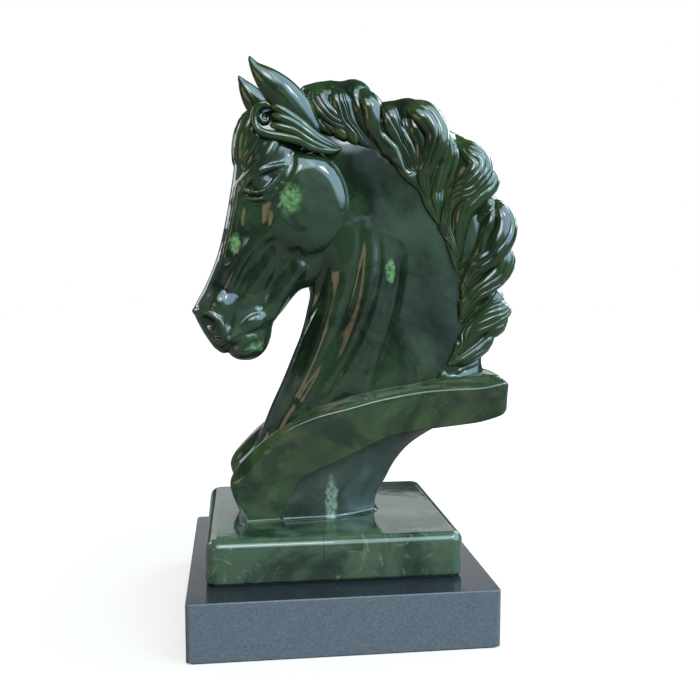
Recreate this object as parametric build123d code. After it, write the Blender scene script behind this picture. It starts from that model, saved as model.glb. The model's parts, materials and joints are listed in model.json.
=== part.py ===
"""Horse-head bust carved in jade, standing on a granite plinth.

The bust, its collar, its stem and its foot slab are one carved stone. A bonded
stud and two dowels hold that stone to a granite plinth with felt under it.
Millimetres. X runs from the horse's nose to its mane, Y across it, Z up.
The origin is the centre of the felt's underside, where the figurine stands.
"""
import math
import os

from build123d import *

# ---- driving dimensions -------------------------------------------------------
FELT_T = 1.0
PLINTH_L, PLINTH_W, PLINTH_H = 160.0, 155.4, 30.0
PLINTH_CORNER_R, PLINTH_ARRIS_R = 2.5, 0.8
PAD_T, PAD_INSET = 1.0, 3.0
SLAB_L, SLAB_W, SLAB_H = 136.0, 121.0, 23.1
SLAB_CORNER_R, SLAB_TOP_R, SLAB_UNDERCUT = 7.0, 5.0, 2.6
SLAB_CX, SLAB_CY = -2.5, 3.3
COLLAR_W = 58.0
HEAD_YAW = 8.0
HEAD_PIVOT_X = 6.0

STUD_R, STUD_LEN = 4.0, 52.0
STUD_HOLE_R, STUD_HOLE_DEPTH = 5.0, 36.0
CLEAR_HOLE_R = 4.5
COUNTERBORE_R, COUNTERBORE_DEPTH = 14.0, 15.0
WASHER_R, WASHER_T = 12.0, 2.0
NUT_FLAT, NUT_H = 13.0, 6.5
DOWEL_R, DOWEL_LEN, DOWEL_REACH, DOWEL_SPACING = 3.0, 24.0, 12.0, 80.0
HOLE_END_GAP = 0.5

# ---- heights worked out from them -----------------------------------------------
PLINTH_Z = FELT_T
PAD_Z = PLINTH_Z + PLINTH_H
SLAB_Z = PAD_Z + PAD_T
SLAB_TOP = SLAB_Z + SLAB_H
SEAT_Z = PLINTH_Z + COUNTERBORE_DEPTH
MID_Y = SLAB_CY
RISE = FELT_T

# ---- outlines in the bust's middle plane: (x, height above the plinth's underside)
COLLAR_TOP = [(-58.0, 78.0), (-44.0, 96.0), (-20.0, 110.0), (25.0, 123.0), (67.0, 128.5), (96.5, 131.0)]
COLLAR_END = [(98.5, 129.0), (98.5, 115.0), (95.5, 111.5)]
COLLAR_UNDER = [(78.0, 106.8), (31.0, 101.0), (-0.2, 86.8), (-19.5, 76.5), (-25.5, 64.0), (-27.5, 52.0)]
COLLAR_FRONT = [(-49.5, 52.0), (-55.5, 65.0)]
STEM_BACK = [(25.6, 52.0), (31.4, 72.5), (46.0, 92.6), (66.0, 106.0)]
STEM_PLAN = [(-40.0, 24.5), (-2.0, 22.0), (28.0, 11.0), (66.0, 9.0)]

# Neck slices from the throat side to the crest side: front x, z, back x, z, half width.
NECK_SLICES = [
    (-42.0, 90.0, 92.0, 122.0, 24.0),
    (-27.0, 130.0, 92.0, 142.0, 23.0),
    (-16.0, 158.0, 101.0, 163.0, 22.0),
    (-11.0, 180.0, 101.0, 198.0, 21.0),
    (-10.0, 192.0, 97.0, 226.0, 20.0),
    (-9.0, 202.0, 84.0, 253.0, 19.0),
    (-8.0, 210.0, 59.0, 275.0, 18.0),
    (-10.0, 218.0, 29.0, 287.0, 17.0),
    (-15.0, 227.0, 3.0, 295.0, 16.0),
    (-26.0, 236.0, -18.0, 290.0, 13.0),
]
# The roll of mane along the crest: x, z, radius, half width.
MANE_SLICES = [
    (78.0, 124.0, 10.0, 13.0),
    (82.0, 140.0, 11.0, 15.0),
    (93.0, 164.0, 15.5, 19.0),
    (93.0, 196.0, 15.5, 20.0),
    (86.0, 224.0, 17.0, 20.0),
    (70.0, 250.0, 16.5, 19.0),
    (45.0, 272.0, 17.0, 19.0),
    (12.0, 282.0, 17.5, 18.0),
    (-12.0, 281.0, 12.0, 13.0),
]
# Head slices from the poll to the lips: x, z, half depth, half width.
HEAD_SLICES = [
    (-20.0, 276.0, 20.0, 12.0),
    (-25.0, 258.0, 29.0, 19.0),
    (-24.0, 228.0, 33.5, 23.0),
    (-31.0, 202.0, 31.5, 20.0),
    (-45.0, 184.0, 24.0, 15.0),
    (-54.0, 170.0, 23.0, 14.5),
    (-56.0, 158.0, 21.5, 13.5),
    (-55.0, 146.0, 12.0, 9.0),
]
HEAD_SLICE_LEAN = -18.0
# Each ear from base to tip: x, y from the middle, z, radius along the ear's width, radius across.
NEAR_EAR = [(-26.0, -10.0, 282.0, 11.0, 7.0), (-33.0, -11.0, 294.0, 8.0, 6.0), (-44.0, -11.5, 307.0, 1.2, 1.0)]
FAR_EAR = [(-30.0, 10.0, 278.0, 10.0, 7.0), (-39.0, 11.0, 289.0, 7.0, 5.5), (-49.0, 11.5, 300.0, 1.2, 1.0)]
EAR_LEAN = 38.0


def in_middle_plane(points):
    """Puts (x, height) pairs in the bust's middle plane."""
    return [Vector(x, MID_Y, z + RISE) for x, z in points]


def across(outline, width):
    """Thickens a closed face in the middle plane equally to both sides."""
    return extrude(outline, amount=width / 2, dir=(0, 1, 0), both=True)


def slice_plane(x, z, lean, y=MID_Y):
    """A plane across the stone. Its own X lies in the middle plane, leaning `lean` degrees from +X."""
    turn = math.radians(lean)
    along = Vector(math.cos(turn), 0, math.sin(turn))
    normal = along.cross(Vector(0, 1, 0))
    return Plane(origin=(x, y, z + RISE), x_dir=along, z_dir=normal)


def make_neck():
    """The arched neck, lofted from slices that fan out from the throat."""
    slices = []
    for front_x, front_z, back_x, back_z, half_width in NECK_SLICES:
        lean = math.degrees(math.atan2(back_z - front_z, back_x - front_x))
        reach = math.hypot(back_x - front_x, back_z - front_z) / 2
        plane = slice_plane((front_x + back_x) / 2, (front_z + back_z) / 2, lean)
        slices.append(plane * Ellipse(reach, half_width))
    return loft(slices)


def make_mane():
    """The roll of hair along the crest."""
    slices = []
    for index, (x, z, radius, half_width) in enumerate(MANE_SLICES):
        before = MANE_SLICES[max(index - 1, 0)]
        after = MANE_SLICES[min(index + 1, len(MANE_SLICES) - 1)]
        lean = math.degrees(math.atan2(after[1] - before[1], after[0] - before[0])) - 90
        slices.append(slice_plane(x, z, lean) * Ellipse(radius, half_width))
    return loft(slices)


def make_head():
    """Skull and muzzle with both ears, turned a little towards the near side."""
    head = loft([slice_plane(x, z, HEAD_SLICE_LEAN) * Ellipse(d, w) for x, z, d, w in HEAD_SLICES])
    for ear in (NEAR_EAR, FAR_EAR):
        slices = [slice_plane(x, z, EAR_LEAN, MID_Y + y) * Ellipse(d, w) for x, y, z, d, w in ear]
        head += loft(slices)
    pivot = Axis((HEAD_PIVOT_X, MID_Y, 0), (0, 0, 1))
    return head.rotate(pivot, HEAD_YAW)


def make_collar():
    """The swooping band under the neck, which curls down to the slab at the front."""
    points = in_middle_plane(COLLAR_TOP)
    end = in_middle_plane(COLLAR_END)
    under = in_middle_plane(COLLAR_UNDER)
    front = in_middle_plane(COLLAR_FRONT)
    top_edge = Spline(*points)
    end_edge = Polyline(points[-1], *end, under[0])
    under_edge = Spline(*under)
    foot_edge = Line(under[-1], front[0])
    front_edge = Spline(front[0], front[1], points[0])
    outline = make_face([top_edge, end_edge, under_edge, foot_edge, front_edge])
    return across(outline, COLLAR_W)


def make_stem():
    """The pedestal between the slab and the collar, a wedge that narrows towards the back."""
    back = in_middle_plane(STEM_BACK)
    foot_z = back[0].Z
    front_x = STEM_PLAN[0][0]
    front_foot = Vector(front_x, MID_Y, foot_z)
    front_top = Vector(front_x, MID_Y, back[-1].Z)
    back_edge = Spline(*back)
    sides = [Line(back[-1], front_top), Line(front_top, front_foot), Line(front_foot, back[0])]
    profile = across(make_face([back_edge] + sides), COLLAR_W)
    near_side = [(x, MID_Y - half) for x, half in STEM_PLAN]
    far_side = [(x, MID_Y + half) for x, half in reversed(STEM_PLAN)]
    plan = make_face(Polyline(*near_side, *far_side, close=True))
    wedge = extrude(Plane.XY.offset(foot_z) * plan, back[-1].Z - foot_z)
    arch_cut = across(make_face(Polyline(*above_collar_underside(), close=True)), 2 * COLLAR_W)
    return (profile & wedge) - arch_cut


def above_collar_underside():
    """A region above the collar's mid line, which the stem must not enter."""
    line = [(-70.0, 66.0), (-40.0, 80.0), (-10.0, 98.0), (30.0, 110.0), (90.0, 120.0)]
    return in_middle_plane(line + [(90.0, 160.0), (-70.0, 160.0)])


def make_slab():
    """The rounded foot slab with a small undercut round its lower edge."""
    centre = Pos(SLAB_CX, SLAB_CY, SLAB_Z + SLAB_H / 2)
    slab = centre * Box(SLAB_L, SLAB_W, SLAB_H)
    slab = fillet(slab.edges().filter_by(Axis.Z), SLAB_CORNER_R)
    slab = fillet(slab.faces().sort_by(Axis.Z)[-1].edges(), SLAB_TOP_R)
    return chamfer(slab.faces().sort_by(Axis.Z)[0].edges(), SLAB_UNDERCUT)


def dowel_places():
    """The two dowels, spread along X about the slab's centre."""
    return [Pos(SLAB_CX + side * DOWEL_SPACING / 2, SLAB_CY, 0) for side in (-1, 1)]


def upright(radius, z_low, z_high, place=Pos(SLAB_CX, SLAB_CY, 0)):
    """A vertical cylinder between two heights."""
    return place * Pos(0, 0, (z_low + z_high) / 2) * Cylinder(radius, z_high - z_low)


def make_jade():
    """The whole carved stone, with the blind holes for its stud and dowels."""
    stone = make_slab() + make_stem() + make_collar()
    stone += make_neck()
    stone += make_mane()
    stone += make_head()
    stone -= upright(STUD_HOLE_R, SLAB_Z - 1, SLAB_Z + STUD_HOLE_DEPTH)
    for place in dowel_places():
        stone -= upright(DOWEL_R, SLAB_Z - 1, SLAB_Z + DOWEL_REACH, place)
    return stone


def make_pad():
    """The thin black bedding sheet between the jade and the granite, cut clear of the fixings."""
    length = SLAB_L - 2 * PAD_INSET
    width = SLAB_W - 2 * PAD_INSET
    pad = Pos(SLAB_CX, SLAB_CY, PAD_Z + PAD_T / 2) * Box(length, width, PAD_T)
    pad = fillet(pad.edges().filter_by(Axis.Z), SLAB_CORNER_R - PAD_INSET)
    pad -= upright(STUD_HOLE_R, PAD_Z - 1, SLAB_Z + 1)
    for place in dowel_places():
        pad -= upright(DOWEL_R, PAD_Z - 1, SLAB_Z + 1, place)
    return pad


def make_plinth():
    """The granite block: clearance hole, counterbore below, blind dowel holes above."""
    block = Pos(0, 0, PLINTH_Z + PLINTH_H / 2) * Box(PLINTH_L, PLINTH_W, PLINTH_H)
    block = fillet(block.edges().filter_by(Axis.Z), PLINTH_CORNER_R)
    block = fillet(block.faces().sort_by(Axis.Z)[-1].edges(), PLINTH_ARRIS_R)
    block -= upright(CLEAR_HOLE_R, PLINTH_Z, PAD_Z + 1)
    block -= upright(COUNTERBORE_R, PLINTH_Z - 1, SEAT_Z)
    for place in dowel_places():
        block -= upright(DOWEL_R, PAD_Z - DOWEL_REACH - HOLE_END_GAP, PAD_Z + 1, place)
    return block


def make_stud():
    """Stainless M8 stud, bonded in the stone and passing down through the plinth."""
    top = SLAB_Z + STUD_HOLE_DEPTH - HOLE_END_GAP
    stud = upright(STUD_R, top - STUD_LEN - NUT_H, top)
    return chamfer(stud.edges().filter_by(GeomType.CIRCLE), 0.8)


def make_epoxy():
    """The resin sleeve that bonds the stud in its hole."""
    sleeve = upright(STUD_HOLE_R, SLAB_Z, SLAB_Z + STUD_HOLE_DEPTH)
    return sleeve - make_stud()


def make_washer():
    """The wide washer that spreads the nut's load on the granite."""
    return upright(WASHER_R, SEAT_Z - WASHER_T, SEAT_Z) - upright(STUD_R + 0.4, SEAT_Z - WASHER_T - 1, SEAT_Z + 1)


def make_nut():
    """The M8 nut, with its corners rounded off at both ends."""
    top = SEAT_Z - WASHER_T
    hexagon = RegularPolygon(NUT_FLAT / 2, 6, major_radius=False)
    nut = extrude(Pos(SLAB_CX, SLAB_CY, top - NUT_H) * hexagon, NUT_H)
    ball = Pos(SLAB_CX, SLAB_CY, top - NUT_H / 2) * Sphere(NUT_FLAT * 0.6)
    return (nut & ball) - upright(STUD_R, top - NUT_H - 1, top + 1)


def make_dowels():
    """Two steel dowels that keep the stone from turning on its stud."""
    dowels = []
    for place in dowel_places():
        pin = upright(DOWEL_R, PAD_Z - DOWEL_REACH, PAD_Z - DOWEL_REACH + DOWEL_LEN, place)
        dowels.append(chamfer(pin.edges().filter_by(GeomType.CIRCLE), 0.5))
    return Compound(dowels)


def make_felt():
    """The felt sheet glued under the plinth, which also hides the counterbore."""
    inset = PLINTH_CORNER_R / 2
    felt = Pos(0, 0, FELT_T / 2) * Box(PLINTH_L - 2 * inset, PLINTH_W - 2 * inset, FELT_T)
    return fillet(felt.edges().filter_by(Axis.Z), PLINTH_CORNER_R)


NODES = {
    "jade_carving": make_jade,
    "bedding_pad": make_pad,
    "granite_plinth": make_plinth,
    "threaded_stud": make_stud,
    "stud_epoxy": make_epoxy,
    "fixing_washer": make_washer,
    "fixing_nut": make_nut,
    "locating_dowels": make_dowels,
    "felt_base": make_felt,
}

os.makedirs("parts", exist_ok=True)
for node, make in NODES.items():
    shape = make()
    export_step(shape, f"parts/{node}.step")
    box = shape.bounding_box()
    size = box.size
    print(f"{node}: {len(shape.solids())} solid(s), {size.X:.1f} x {size.Y:.1f} x {size.Z:.1f} mm")
    print(f"    from {box.min.X:.1f} {box.min.Y:.1f} {box.min.Z:.1f}")
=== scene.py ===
# %% [markdown]
# A horse's head carved in dark green nephrite jade, on a granite plinth.
# The frame holds the measured solids: jade stone, bedding sheet, plinth, fixings and felt.
# The plinth, bedding, fixings and felt keep their solids and only get finishes here. The carved
# stone gets sculpted pieces instead, because its muscles, locks and lids are free-form.

# %% Load the frame
import json
import math

import bmesh
import bpy
import numpy as np
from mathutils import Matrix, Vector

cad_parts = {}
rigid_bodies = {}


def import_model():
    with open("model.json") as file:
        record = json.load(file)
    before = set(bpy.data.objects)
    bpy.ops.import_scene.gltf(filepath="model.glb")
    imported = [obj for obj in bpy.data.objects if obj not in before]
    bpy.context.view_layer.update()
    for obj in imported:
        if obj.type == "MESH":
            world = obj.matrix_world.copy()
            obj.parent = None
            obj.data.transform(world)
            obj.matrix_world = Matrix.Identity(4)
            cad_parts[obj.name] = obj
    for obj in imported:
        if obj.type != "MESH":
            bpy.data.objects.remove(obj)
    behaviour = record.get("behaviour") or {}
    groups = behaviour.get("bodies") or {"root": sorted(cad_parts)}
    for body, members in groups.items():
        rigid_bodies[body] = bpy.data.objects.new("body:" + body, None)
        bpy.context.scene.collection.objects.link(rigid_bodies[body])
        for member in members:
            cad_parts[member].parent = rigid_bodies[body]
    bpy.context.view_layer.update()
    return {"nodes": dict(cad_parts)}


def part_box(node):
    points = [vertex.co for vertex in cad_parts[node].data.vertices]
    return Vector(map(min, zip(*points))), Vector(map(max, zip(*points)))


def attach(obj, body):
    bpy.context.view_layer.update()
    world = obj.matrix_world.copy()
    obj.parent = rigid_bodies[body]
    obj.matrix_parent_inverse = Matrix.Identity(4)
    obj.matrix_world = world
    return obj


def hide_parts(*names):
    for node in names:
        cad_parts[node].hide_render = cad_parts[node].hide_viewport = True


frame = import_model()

import openvdb
from mathutils import Vector

MM = 0.001
SEED = 11
for thing in bpy.data.objects:
    thing.select_set(False)

# %% [markdown]
# Every height below is worked out from the frame: the plinth stands on its felt, the slab lies
# on its bedding. Lengths are in millimetres while shaping, and become metres in the meshes.

# %% Places taken from the frame
def box_mm(node):
    """The two corners of a CAD node's box."""
    low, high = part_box(node)
    return [v / MM for v in low], [v / MM for v in high]


stone_low, stone_high = box_mm("jade_carving")
plinth_low, _ = box_mm("granite_plinth")
RISE = plinth_low[2]
MID_Y = (stone_low[1] + stone_high[1]) / 2
HEAD_YAW = math.radians(8.0)
HEAD_PIVOT_X = 6.0
print("felt", RISE, "mm thick; the bust's middle plane is at y =", round(MID_Y, 2))

# %% [markdown]
# A carver works from a solid block. The same can be done here with a block of voxels: each
# voxel holds its distance to the stone's surface, so lumps can be added or carved away with
# soft or sharp meetings. Sculpting by hand in a viewport would give the same forms, but this
# way every muscle stays a named line that can be changed.

# %% A block of clay
FAR = 40.0  # the distance given to empty voxels


def soft_min(a, b, blend):
    """The smaller of two distances, with the meeting rounded over `blend` millimetres."""
    mix = np.clip(0.5 + 0.5 * (b - a) / blend, 0.0, 1.0)
    return b + (a - b) * mix - blend * mix * (1.0 - mix)


class Clay:
    """Voxels with the distance to the surface, negative inside. Both sides of y = 0 are alike if mirrored."""

    def __init__(self, low, high, step, mirrored=False):
        self.low, self.step, self.mirrored = np.array(low, float), step, mirrored
        counts = np.ceil((np.array(high) - self.low) / step).astype(int) + 1
        self.axes = [self.low[i] + step * np.arange(counts[i]) for i in range(3)]
        self.depth = np.full(counts, FAR, dtype=np.float32)

    def _press(self, low, high, measure, blend, carve):
        """Adds or carves the shape that `measure` gives, inside one box of voxels."""
        margin = blend + 3 * self.step
        cut = []
        for i, axis in enumerate(self.axes):
            lo, hi = low[i] - margin, high[i] + margin
            if i == 1 and self.mirrored:
                lo, hi = -max(abs(lo), abs(hi)), max(abs(lo), abs(hi))
            cut.append(slice(int(np.searchsorted(axis, lo)), int(np.searchsorted(axis, hi))))
        if any(c.stop <= c.start for c in cut):
            return
        x, y, z = np.meshgrid(*[a[c] for a, c in zip(self.axes, cut)], indexing="ij", sparse=True)
        there = measure(x, np.abs(y) if self.mirrored else y, z)
        here = self.depth[tuple(cut)]
        if carve:
            self.depth[tuple(cut)] = -soft_min(-here, there, blend)
        else:
            self.depth[tuple(cut)] = soft_min(here, there, blend)

    def lump(self, centre, radii, tilt=0.0, flare=0.0, blend=3.0, carve=False):
        """An egg. `tilt` turns it in the side view, `flare` then turns it towards +Y, in degrees."""
        ct, st = math.cos(math.radians(tilt)), math.sin(math.radians(tilt))
        cf, sf = math.cos(math.radians(flare)), math.sin(math.radians(flare))
        ax = np.array([ct * cf, sf, st * cf])
        ay = np.array([-ct * sf, cf, -st * sf])
        az = np.array([-st, 0.0, ct])
        radii = np.array(radii, float)
        reach = np.sqrt((radii[0] * ax) ** 2 + (radii[1] * ay) ** 2 + (radii[2] * az) ** 2)
        centre = np.array(centre, float)

        def measure(x, y, z):
            dx, dy, dz = x - centre[0], y - centre[1], z - centre[2]
            u = (dx * ax[0] + dy * ax[1] + dz * ax[2]) / radii[0]
            v = (dx * ay[0] + dy * ay[1] + dz * ay[2]) / radii[1]
            w = (dx * az[0] + dy * az[1] + dz * az[2]) / radii[2]
            k0 = np.sqrt(u * u + v * v + w * w) + 1e-6
            k1 = np.sqrt((u / radii[0]) ** 2 + (v / radii[1]) ** 2 + (w / radii[2]) ** 2) + 1e-6
            return k0 * (k0 - 1.0) / k1

        self._press(centre - reach, centre + reach, measure, blend, carve)

    def rod(self, points, radii, blend=2.0, carve=False, flat=1.0):
        """A tapering round rod along a smooth line through the points. `flat` squeezes it along Y."""
        line = smooth_line(points, 8)
        thick = smooth_line([[r] for r in radii], 8)[:, 0]
        big = max(radii) + 0.5
        squeeze = np.array([1.0, 1.0 / flat, 1.0])

        def measure(x, y, z):
            best = np.full(np.broadcast(x, y, z).shape, FAR, dtype=np.float32)
            for p, q, rp, rq in zip(line[:-1], line[1:], thick[:-1], thick[1:]):
                span = (q - p) * squeeze
                dx, dy, dz = x - p[0], (y - p[1]) * squeeze[1], z - p[2]
                along = (dx * span[0] + dy * span[1] + dz * span[2]) / max(float(span @ span), 1e-9)
                along = np.clip(along, 0.0, 1.0)
                off = (dx - along * span[0]) ** 2 + (dy - along * span[1]) ** 2 + (dz - along * span[2]) ** 2
                best = np.minimum(best, np.sqrt(off) - (rp + along * (rq - rp)))
            return best

        self._press(line.min(0) - big, line.max(0) + big, measure, blend, carve)

    def relief(self, outline, thickness, edge, blend=3.0, carve=False, smooth=5, even=4.0):
        """A silhouette in the side view, filled to a half width that varies, with rounded rims.

        A larger `even` softens the steps from one given half width to the next.
        """
        ring = smooth_line(outline, smooth, closed=True)
        spots = np.array(thickness, float)
        widest = spots[:, 2].max()
        low = np.array([ring[:, 0].min(), -widest, ring[:, 1].min()])
        high = np.array([ring[:, 0].max(), widest, ring[:, 1].max()])

        def measure(x, y, z):
            inside = -outline_distance(ring, x[:, 0, :], z[0])
            away = (x[:, 0, :, None] - spots[:, 0]) ** 2 + (z[0][..., None] - spots[:, 1]) ** 2
            weight = 1.0 / (away + even**2) ** 2
            half = (weight * spots[:, 2]).sum(-1) / weight.sum(-1)
            rim = np.minimum(edge, 1.2 * half) if np.isscalar(edge) else edge
            u = (1.0 - np.minimum(inside / rim, 1.0))[:, None, :]
            half, rim = half[:, None, :], np.broadcast_to(rim, half.shape)[:, None, :]
            v = np.abs(y) / half
            k0 = np.sqrt(u * u + v * v) + 1e-6
            k1 = np.sqrt((u / rim) ** 2 + (v / half) ** 2) + 1e-6
            return k0 * (k0 - 1.0) / k1

        self._press(low, high, measure, blend, carve)

    def trim(self, outline, blend):
        """Cuts away all that lies outside an outline in the side view, with a rounded arris."""
        ring = smooth_line(outline, 4, closed=True)
        gap = outline_distance(ring, self.axes[0][:, None], self.axes[2][None, :])
        self.depth = -soft_min(-self.depth, -gap[:, None, :], blend)

    def groove(self, spots, proud, radii, blend):
        """Carves a rod whose centre runs over the surface, `proud` of it."""
        self.rod(self.on_skin(spots, proud), radii, blend, carve=True)

    def half_widths(self):
        """How far the surface stands from the middle plane, over every (x, z) of the block."""
        middle = int(np.argmin(np.abs(self.axes[1])))
        side = self.depth[:, : middle + 1, :]
        first = np.argmax(side < 0, axis=1)[:, None, :]
        inner = np.take_along_axis(side, first, 1)[:, 0, :]
        outer = np.take_along_axis(side, np.maximum(first - 1, 0), 1)[:, 0, :]
        half = -self.axes[1][first[:, 0, :]] + self.step * inner / np.minimum(inner - outer, -1e-6)
        return np.where((side < 0).any(axis=1), half, 0.0)

    def on_skin(self, spots, proud=0.0):
        """Points on the surface over (x, z) spots, on the +Y side."""
        half = self.half_widths()
        cells = np.rint((np.array(spots, float) - self.low[[0, 2]]) / self.step).astype(int)
        return [(x, float(half[i, k]) + proud, z) for (x, z), (i, k) in zip(spots, cells)]

    def mesh(self, name, turn=0.0, pivot_x=0.0):
        """The surface as a mesh object."""
        grid = openvdb.FloatGrid(FAR)
        grid.copyFromArray(self.depth)
        points, quads = grid.convertToQuads(isovalue=0.0)
        return new_mesh(name, points * self.step + self.low, quads.tolist(), turn, pivot_x)


def smooth_line(points, parts, closed=False):
    """Points along a rounded line through the given ones (a Catmull-Rom curve)."""
    p = np.array(points, float)
    if closed:
        p = np.vstack([p[-1], p, p[0], p[1]])
    else:
        p = np.vstack([2 * p[0] - p[1], p, 2 * p[-1] - p[-2]])
    t = np.linspace(0.0, 1.0, parts, endpoint=False)[:, None]
    spans = []
    for a, b, c, d in zip(p[:-3], p[1:-2], p[2:-1], p[3:]):
        square, cube = 2 * a - 5 * b + 4 * c - d, 3 * b - a - 3 * c + d
        spans.append(0.5 * (2 * b + (c - a) * t + square * t**2 + cube * t**3))
    line = np.vstack(spans)
    return line if closed else np.vstack([line, p[-2]])


def outline_distance(ring, x, z):
    """Distance from each (x, z) to a closed outline, negative inside."""
    near = np.full(np.broadcast(x, z).shape, 1e9)
    inside = np.zeros(near.shape, bool)
    for (ax, az), (bx, bz) in zip(ring, np.roll(ring, -1, axis=0)):
        ex, ez = bx - ax, bz - az
        t = np.clip(((x - ax) * ex + (z - az) * ez) / max(ex * ex + ez * ez, 1e-12), 0.0, 1.0)
        near = np.minimum(near, (x - ax - t * ex) ** 2 + (z - az - t * ez) ** 2)
        crosses = (az > z) != (bz > z)
        inside ^= crosses & (x < ax + (z - az) * ex / (ez if ez else 1e-12))
    return np.where(inside, -1.0, 1.0) * np.sqrt(near)


def new_mesh(name, points, faces, turn=0.0, pivot_x=0.0):
    """Points turned about an upright line and set in the middle plane, as a mesh object at the origin."""
    c, s = math.cos(turn), math.sin(turn)
    dx, dy = points[:, 0] - pivot_x, points[:, 1].copy()
    placed = np.stack([pivot_x + dx * c - dy * s, MID_Y + dx * s + dy * c, points[:, 2] + RISE], 1)
    mesh = bpy.data.meshes.new(name)
    mesh.from_pydata((placed * MM).tolist(), [], faces)
    mesh.validate()
    thing = bpy.data.objects.new(name, mesh)
    bpy.context.collection.objects.link(thing)
    mesh.shade_smooth()
    return thing


# %% [markdown]
# The head. A horse's skull is long and flat-sided, with a big round cheek, so it starts as its
# side silhouette filled to a half width that changes from place to place. Cheek, brow, lids,
# nostrils and lips are then lumps, rods and carved hollows on that blank.

# %% The head's blank
HEAD_OUTLINE = [
    (-36, 286), (-44, 281), (-49, 275), (-52.5, 268), (-53.6, 260), (-54, 250), (-55.4, 240),
    (-58.3, 224), (-60.6, 213), (-63, 203.5), (-66.4, 193.8), (-71, 183.4), (-75.4, 175.5),
    (-77.4, 170.8), (-76.4, 166.8), (-72.9, 159.7), (-69, 153.4), (-65.2, 148.5), (-61, 146.3),
    (-58, 146.9), (-55.2, 144.8), (-51.6, 142.9), (-46.9, 142.2), (-41.7, 143.9), (-37.2, 148.2),
    (-34.4, 155), (-33.4, 161.2), (-31.5, 165.1), (-27.2, 170.2), (-22, 176.9), (-17, 181.5), (-9, 184),
    (0, 191), (6, 203), (9, 220), (9, 238), (5, 252), (0, 264), (-7, 276), (-14, 285), (-25, 289),
]
HEAD_HALF_WIDTHS = [
    (-25, 280, 13), (-42, 274, 11), (-49, 262, 11), (-50, 250, 11.5), (-38, 256, 16.5), (-40, 243, 16.5),
    (-50, 237, 12.5), (-57, 222, 10), (-61, 206, 9.5), (-66, 190, 9.5), (-72, 175, 10), (-46, 222, 14.5),
    (-51, 205, 13), (-57, 190, 12), (-63, 176, 12), (-18, 232, 17), (-5, 240, 15), (-5, 212, 12.5),
    (4, 228, 14), (-25, 203, 12.5), (-36, 190, 11), (-22, 186, 10), (-40, 175, 10.5), (-59, 161, 12.5),
    (-67, 162, 11), (-50, 156, 11.5), (-46, 148, 9), (-38, 160, 10), (-66, 150, 8), (2, 252, 12),
    (-8, 270, 11),
]
head_clay = Clay((-82, -27, 136), (18, 27, 296), 0.85, mirrored=True)
head_clay.relief(HEAD_OUTLINE, HEAD_HALF_WIDTHS, 12.0)

# %% Cheek, jaw and the bones of the face
turns = np.linspace(0, 2 * math.pi, 16)[:-1]
CHEEK = [(-17.0 + 31.0 * math.cos(turn), 229.5 + 33.0 * math.sin(turn)) for turn in turns]
CHEEK_HALF_WIDTHS = [(-20, 230, 21), (-17, 232, 21), (-30, 222, 19), (-36, 232, 17.5)]
head_clay.relief(CHEEK, CHEEK_HALF_WIDTHS, 17.0, blend=2, smooth=3)
head_clay.rod(
    [(-31, 14, 231), (-35, 14, 217), (-43, 13, 208.5), (-52, 11.5, 196), (-59, 10, 184)],
    [2, 3, 3.2, 3, 2], 4)
head_clay.rod([(-52.5, 9, 236), (-54.5, 8.5, 224), (-57, 8, 212), (-60, 7.5, 200)], [2.2, 2.2, 2.2, 2], 4)
head_clay.lump((-49, 19, 217), (17, 5.5, 5.5), tilt=68, blend=5, carve=True)
head_clay.rod([(-31, 9, 206), (-42, 8.5, 190), (-51, 8, 176)], [4.6, 4.4, 3.4], 3)
head_clay.rod([(-20, 8.5, 194), (-29, 7.5, 181), (-35, 6.5, 168)], [4.4, 4.0, 3.2], 3)
head_clay.groove([(-22, 203), (-33, 188), (-42, 173)], 0.4, [1.0, 2.4, 1.2], 2.5)
head_clay.groove([(-42, 207), (-50, 192), (-56, 180)], 0.6, [0.8, 2.2, 0.8], 3.0)

# %% Eye, lids and brow
head_clay.rod(
    [(-34, 15.5, 261), (-38.5, 15.5, 253), (-45, 13.5, 246.5), (-52, 10, 239)],
    [2.0, 2.8, 2.6, 1.6], 3)
head_clay.lump((-40.2, 20.5, 241), (10.0, 5.6, 5.4), tilt=31, flare=-10, blend=1.8, carve=True)
head_clay.lump((-40.9, 11.5, 240.8), (6.2, 4.6, 4.7), tilt=31, flare=-10, blend=1.2)
head_clay.rod(
    [(-51, 12.2, 235.6), (-47.5, 14.6, 241.4), (-42, 16.2, 245.4), (-35.5, 17.2, 248), (-29, 17, 249.5)],
    [0.7, 1.4, 1.7, 1.5, 0.7], 1.5)
head_clay.rod(
    [(-51, 12.2, 235.2), (-46.5, 14.6, 234.4), (-41, 16.2, 235), (-36, 17, 238.8), (-30.5, 17, 246.5)],
    [0.7, 1.0, 1.1, 1.0, 0.6], 1.4)
head_clay.rod(
    [(-49.5, 12.8, 231.6), (-45.5, 14.4, 230.6), (-40, 15.8, 231.6), (-34, 16.8, 236)],
    [0.4, 0.9, 1.0, 0.4], 2.2)
head_clay.groove([(-30, 241), (-27.5, 246), (-25.5, 250), (-25, 255)], 1.0, [0.6, 1.6, 1.4, 0.4], 3.4)

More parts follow.
